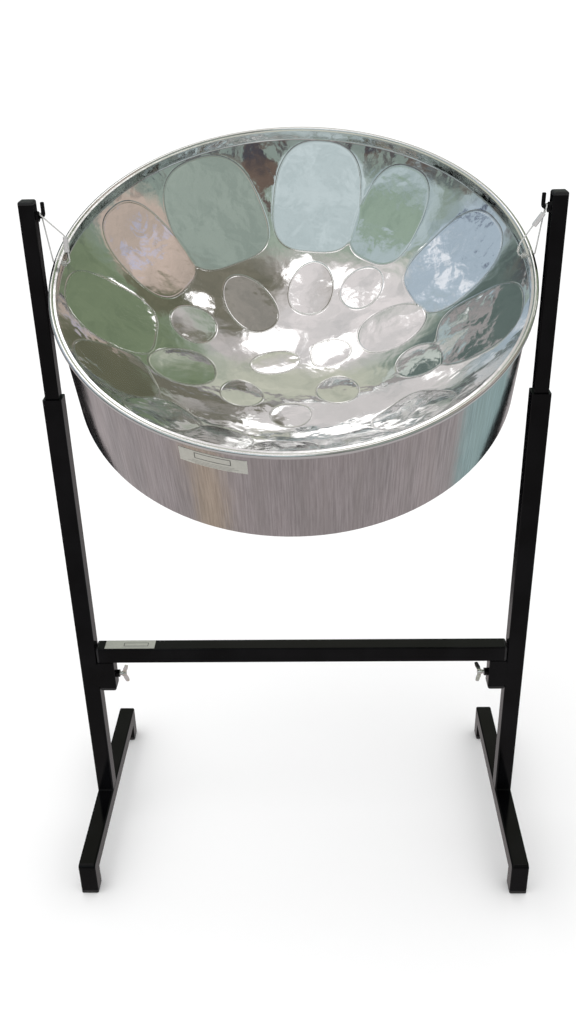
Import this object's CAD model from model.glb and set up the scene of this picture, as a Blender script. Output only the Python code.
"""A chrome tenor steelpan hung by two wire loops on its black telescoping stand.

Metres, +Z up, the player stands on the -Y side.  The stand, the hooks, the screws and the
rim come from the CAD frame; the hammered bowl, the welds, the wires and the label prints
are made here, in the order in which the instrument is put together.
"""
from math import cos, pi, radians, sin

import bpy
import numpy as np
from mathutils import Matrix, Vector


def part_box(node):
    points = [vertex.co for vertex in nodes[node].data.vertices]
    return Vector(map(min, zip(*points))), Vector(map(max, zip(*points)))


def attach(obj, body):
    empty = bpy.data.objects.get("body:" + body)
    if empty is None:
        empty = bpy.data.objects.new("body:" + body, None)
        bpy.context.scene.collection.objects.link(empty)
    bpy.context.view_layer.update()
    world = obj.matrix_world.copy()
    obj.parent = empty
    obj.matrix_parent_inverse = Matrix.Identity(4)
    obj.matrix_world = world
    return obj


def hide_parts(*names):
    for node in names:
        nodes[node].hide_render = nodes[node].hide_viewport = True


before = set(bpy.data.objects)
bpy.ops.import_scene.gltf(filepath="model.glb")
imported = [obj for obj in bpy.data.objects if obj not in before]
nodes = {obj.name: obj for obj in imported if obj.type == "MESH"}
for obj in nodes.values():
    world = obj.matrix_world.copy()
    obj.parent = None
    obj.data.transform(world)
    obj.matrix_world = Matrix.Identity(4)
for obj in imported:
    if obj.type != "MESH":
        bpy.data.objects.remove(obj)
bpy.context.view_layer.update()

# The pan's own frame -----------------------------------------------------------------
# The pan leans towards the player on its two wires.  Its rim is a rolled bead, so the
# middle of the rim's box is one bead radius under the plane that the rim's top lies in.
pan_lean = radians(26.3)
bead_radius = 0.0033
pan_axis = Vector((0, -sin(pan_lean), cos(pan_lean)))
rim_low, rim_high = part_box("rim_chime")
pan_middle = (Vector(rim_low) + Vector(rim_high)) / 2 + pan_axis * bead_radius
rim_radius = (rim_high[0] - rim_low[0]) / 2
pan_place = Matrix.Translation(pan_middle) @ Matrix.Rotation(pan_lean, 4, "X")

# Camera ------------------------------------------------------------------------------
# Eye height of somebody standing about a metre in front of the pan, looking down into
# it, with the camera held almost level.
eye_from_pan = Vector((0.0298, -1.2233, 0.3057))
look_left = radians(1.977)
look_down = radians(27.566)
camera_roll = radians(-1.468)
focal_length = 35.6

ahead = Vector((-sin(look_left) * cos(look_down), cos(look_left) * cos(look_down), -sin(look_down)))
level = Vector((cos(look_left), sin(look_left), 0))
above = level.cross(ahead)
camera_right = level * cos(camera_roll) + above * sin(camera_roll)
camera_up = above * cos(camera_roll) - level * sin(camera_roll)
turn = Matrix((camera_right, camera_up, -ahead)).transposed().to_4x4()

camera_data = bpy.data.cameras.new("camera")
camera_data.lens = focal_length
camera_data.clip_end = 200
camera = bpy.data.objects.new("camera", camera_data)
camera.matrix_world = Matrix.Translation(pan_middle + eye_from_pan) @ turn
bpy.context.scene.collection.objects.link(camera)
bpy.context.scene.camera = camera
bpy.context.scene.view_settings.view_transform = "Standard"


# Studio ------------------------------------------------------------------------------
# A pale room with soft coloured cards around the pan, because polished chrome shows
# nothing but what stands round it.  Cards and ceiling are given by where they are seen
# from the pan: degrees round from the player's side, and degrees above the horizon.
class Value:
    """A shader socket that takes part in ordinary arithmetic."""

    def __init__(self, finish, socket):
        self.finish = finish
        self.socket = socket

    def math(self, operation, *others):
        settings = {"operation": operation}
        return self.finish.node("ShaderNodeMath", settings, dict(enumerate((self, *others))))

    def __add__(self, other):
        return self.math("ADD", other)

    def __mul__(self, other):
        return self.math("MULTIPLY", other)

    def __sub__(self, other):
        return self.math("SUBTRACT", other)

    def __rsub__(self, other):
        return (self * -1.0) + other

    __radd__ = __add__
    __rmul__ = __mul__

    def step(self, low, high):
        """0 below low and 1 above high, with a smooth rise between them."""
        settings = {"interpolation_type": "SMOOTHSTEP"}
        return self.finish.node("ShaderNodeMapRange", settings, {0: self, 1: low, 2: high})


class Finish:
    """A node tree being put together: a surface finish, or the studio's surroundings."""

    def __init__(self, owner):
        owner.use_nodes = True
        self.owner = owner
        self.tree = owner.node_tree
        self.tree.nodes.clear()

    def node(self, kind, settings=None, inputs=None, out=0):
        made = self.tree.nodes.new(kind)
        for name, value in (settings or {}).items():
            if name == "stops":
                self.set_stops(made.color_ramp, value)
            else:
                setattr(made, name, value)
        for key, value in (inputs or {}).items():
            if isinstance(value, Value):
                self.tree.links.new(value.socket, made.inputs[key])
            else:
                made.inputs[key].default_value = value
        return Value(self, made.outputs[out]) if made.outputs else None

    def set_stops(self, ramp, stops):
        while len(ramp.elements) < len(stops):
            ramp.elements.new(1.0)
        for element, (place, colour) in zip(ramp.elements, stops):
            element.position = place
            element.color = (*colour, 1)

    def mix(self, share, first, second):
        """The first colour where share is 0 and the second where it is 1."""
        colours = [v if isinstance(v, Value) else (*v, 1) for v in (first, second)]
        inputs = {0: share, 6: colours[0], 7: colours[1]}
        return self.node("ShaderNodeMix", {"data_type": "RGBA"}, inputs, out=2)

    def ramp(self, share, stops):
        return self.node("ShaderNodeValToRGB", {"stops": stops}, {0: share})

    def noise(self, where, scale, detail=2.0, roughness=0.5, distortion=0.0):
        inputs = {"Vector": where, "Scale": scale, "Detail": detail}
        inputs.update({"Roughness": roughness, "Distortion": distortion})
        return self.node("ShaderNodeTexNoise", None, inputs)

    def split(self, vector):
        parts = self.node("ShaderNodeSeparateXYZ", None, {0: vector}).socket.node.outputs
        return [Value(self, part) for part in parts]


def from_pan(round_degrees, up_degrees):
    """The direction of a card, from the player's side round to the right."""
    turn_round, rise = radians(round_degrees), radians(up_degrees)
    return (sin(turn_round) * cos(rise), -cos(turn_round) * cos(rise), sin(rise))


room_stops = (
    (0.00, (0.39, 0.36, 0.36)),
    (0.20, (0.46, 0.43, 0.43)),
    (0.45, (0.40, 0.37, 0.37)),
    (0.54, (0.13, 0.14, 0.15)),
    (0.64, (0.24, 0.29, 0.27)),
    (0.80, (0.31, 0.39, 0.33)),
    (0.91, (0.34, 0.41, 0.34)),
    (0.95, (0.58, 0.54, 0.53)),
)
cards = (
    # round, up, inner and outer edge in degrees, colour
    (-13, 36, 15, 21, (0.56, 0.65, 0.67)),
    (36, 38, 15, 22, (0.31, 0.37, 0.33)),
    (79, 39, 13, 20, (0.54, 0.44, 0.38)),
    (76, 43, 1, 4, (0.50, 0.49, 0.60)),
    (128, 34, 16, 30, (0.19, 0.24, 0.15)),
    (112, 40, 2, 5, (0.27, 0.31, 0.25)),
    (-52, 38, 13, 18, (0.44, 0.53, 0.55)),
    (-50, 40, 6, 9, (0.29, 0.38, 0.31)),
    (-97, 36, 6, 22, (0.44, 0.53, 0.62)),
    (-138, 29, 14, 28, (0.12, 0.16, 0.15)),
    (60, 70, 12, 26, (0.19, 0.18, 0.14)),
    (180, 51, 12, 24, (0.54, 0.55, 0.46)),
    (-100, 74, 16, 30, (0.76, 0.72, 0.72)),
    (-147, 44, 3, 7, (0.56, 0.61, 0.57)),
    (63, 75, 3, 8, (0.31, 0.29, 0.26)),
    (14, 29, 6, 10, (0.15, 0.11, 0.09)),
    (12, 38, 2, 4, (0.13, 0.10, 0.09)),
    (-91, 31, 2, 5, (0.06, 0.07, 0.13)),
    (-103, 44, 1, 4, (0.80, 0.84, 0.90)),
    (135, -32, 12, 16, (0.36, 0.50, 0.50)),
    (170, -10, 7, 10, (0.008, 0.008, 0.010)),
    (-158, -16, 16, 20, (0.004, 0.004, 0.005)),
    (-84, -60, 5, 11, (0.52, 0.44, 0.35)),
    (97, 51, 7, 12, (0.15, 0.15, 0.10)),
)
lamps = (
    (-130, 68, 3, 8),
    (-66, 62, 2, 5),
    (-40, 66, 3, 6),
    (-8, 66, 4, 7),
    (150, 79, 3, 9),
    (-158, 66, 2, 5),
    (88, 62, 1, 3),
    (-84, 47, 1, 3),
    (118, 41, 1, 2),
)
lamp_white = (1.9, 1.85, 1.85)
mottle_stops = ((0.3, (0.78, 0.80, 0.80)), (0.7, (1.16, 1.14, 1.14)))
open_white = (1.12, 1.12, 1.12)
clutter_navy = (0.05, 0.055, 0.080)
clutter_brown = (0.11, 0.085, 0.075)

room = Finish(bpy.data.worlds.new("studio"))
bpy.context.scene.world = room.owner
direction = room.node("ShaderNodeTexCoord")
ripple = room.noise(direction, 3.0, detail=3.0)
mottle = room.noise(direction, 8.0, detail=4.0, roughness=0.6)
tatters = room.noise(direction, 5.5, detail=5.0, roughness=0.62, distortion=1.2)
height = room.split(direction)[2]
surround = room.ramp(height * 0.5 + 0.5 + (ripple - 0.5) * 0.05, room_stops)


def toward(round_degrees, up_degrees, inner, outer, raggedness):
    """1 near one direction from the pan, fading to 0 between two angles off it."""
    facing = room.node(
        "ShaderNodeVectorMath",
        {"operation": "DOT_PRODUCT"},
        {0: direction, 1: from_pan(round_degrees, up_degrees)},
        out=1,
    )
    ragged = facing + (tatters - 0.5) * raggedness
    return ragged.step(cos(radians(outer)), cos(radians(inner)))


for round_degrees, up_degrees, inner, outer, colour in cards:
    share = toward(round_degrees, up_degrees, inner, outer, 0.05)
    surround = room.mix(share, surround, colour)
low_down = 1 - (height + (tatters - 0.5) * 0.35).step(0.34, 0.52)
upright = height.step(-0.1, 0.05)
clutter = room.mix(mottle.step(0.4, 0.6), clutter_navy, clutter_brown)
surround = room.mix(low_down * upright * tatters.step(0.48, 0.54), surround, clutter)
surround = room.node(
    "ShaderNodeMix",
    {"data_type": "RGBA", "blend_type": "MULTIPLY"},
    {0: 1.0, 6: surround, 7: room.ramp(mottle, mottle_stops)},
    out=2,
)
for round_degrees, up_degrees, inner, outer in lamps:
    share = toward(round_degrees, up_degrees, inner, outer, 0.03)
    surround = room.mix(share, surround, lamp_white)
mirrored = room.node("ShaderNodeLightPath", out=3)
backdrop = room.mix(mirrored, open_white, surround)
background = room.node("ShaderNodeBackground", None, {"Color": backdrop, "Strength": 1.0})
room.node("ShaderNodeOutputWorld", None, {0: background})

floor_size = 60
floor_colour = (0.96, 0.96, 0.96, 1)
bpy.ops.object.select_all(action="DESELECT")
bpy.ops.mesh.primitive_plane_add(size=floor_size)
floor = bpy.context.object
floor.name = "floor"
floor_finish = Finish(bpy.data.materials.new("studio_floor"))
floor_surface = floor_finish.node("ShaderNodeBsdfDiffuse", None, {"Color": floor_colour})
floor_finish.node("ShaderNodeOutputMaterial", None, {0: floor_surface})
floor.data.materials.append(floor_finish.owner)
floor.visible_glossy = False

softbox_place = Vector((-1.2, -0.4, 3.4))
softbox = bpy.data.lights.new("ceiling_softbox", "AREA")
softbox.size = 1.2
softbox.energy = 10
softbox_object = bpy.data.objects.new("ceiling_softbox", softbox)
softbox_object.location = softbox_place
aim = pan_middle - softbox_place
softbox_object.rotation_euler = aim.to_track_quat("-Z", "Y").to_euler()
softbox_object.visible_glossy = False
bpy.context.scene.collection.objects.link(softbox_object)


# Black stand ---------------------------------------------------------------------------
# Square steel tubes, stoved in gloss black enamel after welding: two side frames, a
# crossbar that lifts off, and upper posts that slide in the lower ones.  The enamel is
# glossy, with a faint orange peel and a little dust in it.
def shade(finish, varying, height=None, **fixed):
    """Close a finish with one Principled shader; height is a relief in metres."""
    inputs = dict(varying)
    inputs.update({name.replace("_", " "): value for name, value in fixed.items()})
    if height is not None:
        inputs["Normal"] = finish.node("ShaderNodeBump", None, {"Height": height, "Distance": 1.0})
    surface = finish.node("ShaderNodeBsdfPrincipled", None, inputs)
    finish.node("ShaderNodeOutputMaterial", None, {0: surface})
    return finish.owner


def start(name):
    """A new finish and its place on the object, in metres."""
    finish = Finish(bpy.data.materials.new(name))
    return finish, finish.node("ShaderNodeTexCoord", out=3)


def dress(slot_name, material):
    """Give every CAD node of one material slot its finish."""
    for piece in nodes.values():
        for holder in piece.material_slots:
            if holder.material and holder.material.name == slot_name:
                holder.material = material


enamel, place = start("black_enamel")
peel = enamel.noise(place, 500, detail=2)
cloud = enamel.noise(place, 18, detail=4)
dust = enamel.noise(place, 1500, detail=1).step(0.66, 0.74)
black_enamel = shade(
    enamel,
    {
        "Base Color": enamel.mix(
            cloud.step(0.35, 0.7), (0.0012, 0.0012, 0.0014), (0.003, 0.003, 0.0035)
        ),
        "Roughness": 0.07 + cloud * 0.07 + dust * 0.1,
    },
    height=peel * 0.00003 + cloud * 0.0003,
    Specular_IOR_Level=0.14,
)
dress("black_paint", black_enamel)

moulded, place = start("black_moulding")
grain = moulded.noise(place, 1800, detail=3)
scuff = moulded.noise(place, 120, detail=5, roughness=0.7).step(0.55, 0.8)
black_moulding = shade(
    moulded,
    {
        "Base Color": moulded.mix(scuff, (0.011, 0.011, 0.012), (0.030, 0.030, 0.032)),
        "Roughness": 0.34 + grain * 0.16 + scuff * 0.15,
    },
    height=grain * 0.00004,
)
dress("black_plastic", black_moulding)

# Wing screws ---------------------------------------------------------------------------
# Pressed steel wing screws, bright zinc plated: a cool silver with a yellowish cast in
# the hollows and a fine crystalline mottle.
plating, place = start("bright_zinc")
crystals = plating.noise(place, 900, detail=4, roughness=0.7)
stain = plating.noise(place, 160, detail=3).step(0.4, 0.7)
bright_zinc = shade(
    plating,
    {
        "Base Color": plating.mix(stain, (0.92, 0.92, 0.92), (0.84, 0.81, 0.72)),
        "Roughness": 0.13 + crystals * 0.16,
    },
    height=crystals * 0.00006,
    Metallic=1.0,
)
dress("zinc", bright_zinc)

# Wires and ferrules ----------------------------------------------------------------------
# Each loop is galvanised cable closed by a pressed aluminium ferrule.  The rim's holes are
# lined with clear vinyl bushes, and the right wire has a short vinyl sleeve there.
pressed, place = start("pressed_aluminium")
drawn = pressed.noise(place, 500, detail=4, roughness=0.7)
ferrule_aluminium = shade(
    pressed,
    {
        "Base Color": pressed.mix(drawn.step(0.3, 0.7), (0.76, 0.76, 0.76), (0.90, 0.90, 0.89)),
        "Roughness": 0.32 + drawn * 0.2,
    },
    height=drawn * 0.00012,
    Metallic=0.6,
)
dress("ferrule_aluminium", ferrule_aluminium)

galvanised, place = start("galvanised_wire")
spangle = galvanised.noise(place, 700, detail=3)
wire_x, wire_y, wire_z = galvanised.split(place)
lay_pitch = 0.0011
lay = (wire_z + wire_x * 0.8 + wire_y * 0.5) * (2 * pi / lay_pitch)
wire_steel = shade(
    galvanised,
    {
        "Base Color": galvanised.mix(spangle, (0.76, 0.76, 0.75), (0.92, 0.92, 0.90)),
        "Roughness": 0.28 + spangle * 0.2,
    },
    height=spangle * 0.00005 + lay.math("SINE") * 0.00012,
    Metallic=0.4,
)
dress("wire_steel", wire_steel)

vinyl, place = start("clear_vinyl_tube")
haze = vinyl.noise(place, 300, detail=3)
clear_vinyl = shade(
    vinyl,
    {
        "Base Color": vinyl.mix(haze, (0.80, 0.81, 0.76), (0.92, 0.92, 0.88)),
        "Roughness": 0.16 + haze * 0.2,
    },
    Transmission_Weight=0.55,
    IOR=1.5,
)
dress("clear_vinyl", clear_vinyl)

# Rim and skirt -----------------------------------------------------------------------
# The drum's own rolled chime and wall, plated with the bowl.  The rim is polished; the
# wall keeps the fine upright lines that it was ground with before plating.
bead, place = start("rim_chrome_plate")
swirl = bead.noise(place, 60, detail=3)
rim_chrome = shade(
    bead,
    {
        "Base Color": bead.mix(swirl, (0.88, 0.89, 0.89), (0.95, 0.95, 0.94)),
        "Roughness": 0.09 + swirl * 0.08,
    },
    height=swirl * 0.0002,
    Metallic=1.0,
)
dress("rim_chrome", rim_chrome)


def measured_in_pan(finish, place):
    """The place on the object in the pan's own frame, in which the rim is level."""
    moved = {"Vector": place, "Location": pan_middle, "Rotation": (pan_lean, 0, 0)}
    return finish.node("ShaderNodeMapping", {"vector_type": "TEXTURE"}, moved)


wall, place = start("ground_chrome_plate")
in_pan = measured_in_pan(wall, place)
pan_x, pan_y, pan_z = wall.split(in_pan)
round_wall = pan_y.math("ARCTAN2", pan_x)
streak_stretch = 0.035
unrolled = wall.node(
    "ShaderNodeCombineXYZ", None, {0: round_wall * rim_radius, 1: pan_z * streak_stretch, 2: 0.0}
)
streaks = wall.noise(unrolled, 420, detail=4, roughness=0.65)
bands = wall.noise(unrolled, 45, detail=3, roughness=0.6)
wide = wall.noise(in_pan, 9, detail=2)
streak_colour = wall.mix(streaks.step(0.3, 0.7), (0.53, 0.50, 0.505), (0.77, 0.74, 0.75))
skirt_chrome = shade(
    wall,
    {
        "Base Color": wall.mix(bands.step(0.35, 0.75) * 0.6, streak_colour, (0.60, 0.57, 0.56)),
        "Roughness": 0.06 + streaks * 0.10 + wide * 0.04,
    },
    height=streaks * 0.00005 + bands * 0.0002 + wide * 0.0015,
    Metallic=1.0,
)
dress("skirt_chrome", skirt_chrome)

# Playing surface -----------------------------------------------------------------------
# The drum's head, sunk by hammer into a deep bowl.  Each note is a panel worked up from
# the bowl until it is nearly flat, so it shows one piece of the room, and is ringed by a
# fine groove.  The whole face is chrome plated with the skirt.
sheet_metal = 0.0012
lip_radius = 0.286
lip_height = 0.015
sheet_top = 0.0038
bowl_depth = 0.155
bowl_drop = bowl_depth - lip_height
bowl_round = (lip_radius**2 + bowl_drop**2) / (2 * bowl_drop)
round_centre = bowl_round - bowl_depth

# degrees round from the player's right, distance out along the bowl, half width, half
# length, share of flattening; metres
outer_notes = [
    (82, 0.252, 0.061, 0.076, 0.9),
    (119, 0.250, 0.068, 0.076, 0.86),
    (148, 0.252, 0.048, 0.070, 1.0),
    (180, 0.254, 0.053, 0.066, 0.95),
    (206, 0.262, 0.048, 0.056, 0.35),
    (228, 0.250, 0.040, 0.050, 1.3),
    (247, 0.238, 0.036, 0.046, 1.5),
    (268, 0.246, 0.040, 0.048, 1.4),
    (312, 0.232, 0.046, 0.050, 1.3),
    (352, 0.256, 0.056, 0.064, 1.0),
    (23, 0.250, 0.055, 0.072, 0.95),
    (55, 0.250, 0.046, 0.068, 1.0),
]
inner_notes = [
    (125, 0.111, 0.033, 0.048, 1.5),
    (79, 0.119, 0.031, 0.041, 1.7),
    (49, 0.143, 0.028, 0.033, 1.8),
    (13, 0.136, 0.036, 0.048, 1.7),
    (344, 0.176, 0.030, 0.036, 1.8),
    (309, 0.090, 0.026, 0.030, 1.8),
    (268, 0.122, 0.026, 0.030, 1.8),
    (228, 0.104, 0.028, 0.027, 1.8),
    (197, 0.156, 0.034, 0.046, 1.7),
    (164, 0.145, 0.030, 0.032, 1.7),
    (9, 0.049, 0.025, 0.027, 2.0),
    (196, 0.028, 0.022, 0.033, 2.0),
]
outer_squareness = 2.7
inner_squareness = 2.0
lip_fade = 0.006
profile_steps = 872
sectors = 360

bpy.ops.object.select_all(action="DESELECT")
bpy.ops.mesh.primitive_circle_add(
    vertices=profile_steps, radius=bowl_round, rotation=(pi / 2, 0, 0)
)
bowl = bpy.context.object
bowl.name = "hammered_bowl"
bpy.ops.object.transform_apply()
bpy.ops.object.mode_set(mode="EDIT")
bpy.ops.mesh.select_all(action="SELECT")
bpy.ops.mesh.bisect(plane_co=(0, 0, 0), plane_no=(1, 0, 0), clear_inner=True)
bpy.ops.mesh.select_all(action="SELECT")
rim_plane = (0, 0, bowl_drop - bowl_round)
bpy.ops.mesh.bisect(plane_co=rim_plane, plane_no=(0, 0, 1), clear_outer=True)
bpy.ops.object.mode_set(mode="OBJECT")
for vertex in bowl.data.vertices:
    vertex.select = vertex.co.x > lip_radius - 1e-5
bpy.ops.object.mode_set(mode="EDIT")
for rise in (0.2, 0.3, 0.5):
    bpy.ops.mesh.extrude_region_move(
        TRANSFORM_OT_translate={"value": (0, 0, rise * (lip_height - sheet_top))}
    )
bpy.ops.mesh.select_all(action="SELECT")
bpy.ops.transform.translate(value=(0, 0, round_centre))
bpy.ops.mesh.spin(steps=sectors, angle=2 * pi, center=(0, 0, 0), axis=(0, 0, 1))
bpy.ops.mesh.select_all(action="SELECT")
bpy.ops.mesh.remove_doubles(threshold=1e-5)
bpy.ops.mesh.normals_make_consistent(inside=True)
bpy.ops.object.mode_set(mode="OBJECT")

mesh = bowl.data
points = np.empty(len(mesh.vertices) * 3)
mesh.vertices.foreach_get("co", points)
points = points.reshape(-1, 3)
outward = np.hypot(points[:, 0], points[:, 1])
angle = np.arctan2(points[:, 1], points[:, 0])
along = bowl_round * np.arcsin(np.minimum(outward / bowl_round, 1.0))
in_bowl = points[:, 2] < -lip_height + 1e-5
lift = np.zeros(len(points))
edge_distance = np.full(len(points), 1.0)
rings = ((outer_squareness, outer_notes), (inner_squareness, inner_notes))
for squareness, ring_of_notes in rings:
    for degrees_round, out, half_width, half_length, flattening in ring_of_notes:
        sideways = np.angle(np.exp(1j * (angle - radians(degrees_round)))) * outward
        lengthways = along - out
        reach = np.abs(sideways / half_width) ** squareness
        reach += np.abs(lengthways / half_length) ** squareness
        reach = reach ** (1 / squareness)
        crown = flattening * min(half_width, half_length) ** 2 / (2 * bowl_round)
        lift = np.maximum(lift, crown * (1 - reach**2))
        distance = (reach - 1) * min(half_width, half_length)
        edge_distance = np.minimum(edge_distance, distance)
near_lip = np.clip((-lip_height - points[:, 2]) / lip_fade, 0, 1)
lift *= near_lip * in_bowl
ball_centre = np.array((0, 0, round_centre))
to_centre = (ball_centre - points) / bowl_round
points += to_centre * lift[:, None]
mesh.vertices.foreach_set("co", points.ravel())
edge = mesh.attributes.new("note_edge", "FLOAT", "POINT")
edge.data.foreach_set("value", np.where(in_bowl, edge_distance, 1.0).astype(np.float32))
mesh.update()

mesh.transform(pan_place)
thicken = bowl.modifiers.new("sheet", "SOLIDIFY")
thicken.thickness = sheet_metal
thicken.offset = -1
bpy.context.view_layer.objects.active = bowl
bpy.ops.object.modifier_apply(modifier="sheet")
bpy.ops.object.shade_smooth_by_angle(angle=radians(50))

face, place = start("bowl_chrome_plate")
in_pan = measured_in_pan(face, place)
note_edge = face.node("ShaderNodeAttribute", {"attribute_name": "note_edge"}, out=2)
off_edge = note_edge.math("ABSOLUTE")
groove = 1 - off_edge.step(0.0004, 0.0016)
waves = face.noise(in_pan, 26, detail=2, roughness=0.45, distortion=0.4)
dents = face.noise(in_pan, 90, detail=2, roughness=0.5)
specks = face.noise(in_pan, 700, detail=3)
bowl_chrome = shade(
    face,
    {
        "Base Color": face.mix(groove * 0.5, (0.88, 0.885, 0.88), (0.62, 0.62, 0.60)),
        "Roughness": 0.045 + waves * 0.03 + groove * 0.12,
    },
    height=waves * 0.0009 + dents * 0.00012 + specks * 0.000004 - groove * 0.0002,
    Metallic=1.0,
)
bowl.data.materials.clear()
bowl.data.materials.append(bowl_chrome)
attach(bowl, "pan")
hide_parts("playing_bowl")

# Labels ----------------------------------------------------------------------------------
# Thin metallised film stuck on the skirt and on the crossbar, plain apart from a ruled
# frame, slightly silkier than the metal round it.
def ruled_film(film, place, across, along, box, hairlines):
    """Silver film printed with one empty box and a few hairlines, in metres from its middle.

    The box is half its width, half its height and its line; a hairline is how far it lies
    under the box's middle, half its length and half its thickness.
    """
    half_wide, half_tall, line = box
    outline = (across.math("ABSOLUTE") - half_wide).math(
        "MAXIMUM", along.math("ABSOLUTE") - half_tall
    )
    ink = 1 - outline.math("ABSOLUTE").step(line * 0.4, line * 0.6)
    for drop, half_length, thickness in hairlines:
        beyond = (across.math("ABSOLUTE") - half_length).math(
            "MAXIMUM", (along + drop).math("ABSOLUTE") - thickness
        )
        ink = ink.math("MAXIMUM", (1 - beyond.step(-0.0001, 0.0001)) * 0.45)
    fibre = film.noise(place, 260, detail=4)
    paper = film.mix(fibre, (0.50, 0.50, 0.46), (0.66, 0.67, 0.61))
    return shade(
        film,
        {
            "Base Color": film.mix(ink, paper, (0.03, 0.03, 0.03)),
            "Roughness": 0.28 + fibre * 0.15 + ink * 0.2,
        },
        height=fibre * 0.00005,
        Metallic=0.5,
    )


film, place = start("skirt_label_film")
pan_x, pan_y, pan_z = film.split(measured_in_pan(film, place))
label_middle = radians(-107.0)
label_drop = 0.0262
round_skirt = (pan_y.math("ARCTAN2", pan_x) - label_middle) * rim_radius
up_label = pan_z + label_drop
nodes["skirt_label"].material_slots[0].material = ruled_film(
    film, place, round_skirt, up_label,
    box=(0.021, 0.0042, 0.0009),
    hairlines=((0.0085, 0.025, 0.0004), (0.0108, 0.030, 0.0004), (0.0131, 0.022, 0.0004)),
)

film, place = start("crossbar_label_film")
bar_x, bar_y, bar_z = film.split(place)
low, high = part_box("crossbar_label")
box_share = 0.62
along_bar = bar_x - (low[0] * (1 - box_share) + high[0] * box_share)
across_bar = bar_y - (low[1] + high[1]) / 2
nodes["crossbar_label"].material_slots[0].material = ruled_film(
    film, place, along_bar, across_bar,
    box=(0.018, 0.0040, 0.0009),
    hairlines=((0.0068, 0.021, 0.0004),),
)

# Welds -----------------------------------------------------------------------------------
# Each post stands on its foot bar, and each socket against its post, in short runs of
# rippled weld laid by hand into the corners and painted over with the rest.
weld_pitch = 0.0011
weld_sides = 14
weld_waist = 0.86
foot_weld_radius = 0.0024
socket_weld_radius = 0.0017
weld_inset = 0.0018
weld_standoff = 0.0006
socket_corner = 0.0014


def weld(name, start_point, end_point, radius, body):
    """A run of weld from one point to the other, narrow at its ends and at every ripple."""
    begin, end = Vector(start_point), Vector(end_point)
    run = end - begin
    steps = 2 * round(run.length / weld_pitch)
    bpy.ops.object.select_all(action="DESELECT")
    bpy.ops.mesh.primitive_circle_add(vertices=weld_sides, radius=radius * 0.5, fill_type="NGON")
    bead_run = bpy.context.object
    bead_run.name = name
    bpy.ops.object.mode_set(mode="EDIT")
    bpy.ops.mesh.select_all(action="SELECT")
    for step in range(steps):
        bpy.ops.mesh.extrude_region_move(
            TRANSFORM_OT_translate={"value": (0, 0, run.length / steps)}
        )
        if step == 0:
            swell = 2.0
        elif step == steps - 1:
            swell = 0.5
        else:
            swell = weld_waist if step % 2 else 1 / weld_waist
        bpy.ops.transform.resize(value=(swell, swell, 1))
    bpy.ops.mesh.select_all(action="SELECT")
    bpy.ops.mesh.normals_make_consistent(inside=False)
    bpy.ops.object.mode_set(mode="OBJECT")
    lay_down = run.to_track_quat("Z", "Y").to_matrix().to_4x4()
    bead_run.data.transform(Matrix.Translation(begin) @ lay_down)
    bpy.ops.object.shade_smooth()
    bead_run.data.materials.append(black_enamel)
    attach(bead_run, body)


for side in ("left", "right"):
    post_low, post_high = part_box(f"{side}_lower_post")
    foot_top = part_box(f"{side}_foot_bar")[1][2] + weld_standoff
    for end_name, seam_y in (("front", post_low[1] - weld_standoff), ("rear", post_high[1] + weld_standoff)):
        weld(
            f"{side}_{end_name}_foot_weld",
            (post_low[0] + weld_inset, seam_y, foot_top),
            (post_high[0] - weld_inset, seam_y, foot_top),
            foot_weld_radius,
            "stand",
        )
    socket_low, socket_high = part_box(f"{side}_socket")
    seam_x = socket_low[0] if side == "left" else socket_high[0]
    front_y, rear_y = socket_low[1] + socket_corner, socket_high[1] - socket_corner
    for end_name, seam_y in (("front", front_y), ("rear", rear_y)):
        weld(
            f"{side}_{end_name}_socket_weld",
            (seam_x, seam_y, socket_low[2] + weld_inset),
            (seam_x, seam_y, socket_high[2] - weld_inset),
            socket_weld_radius,
            "stand",
        )
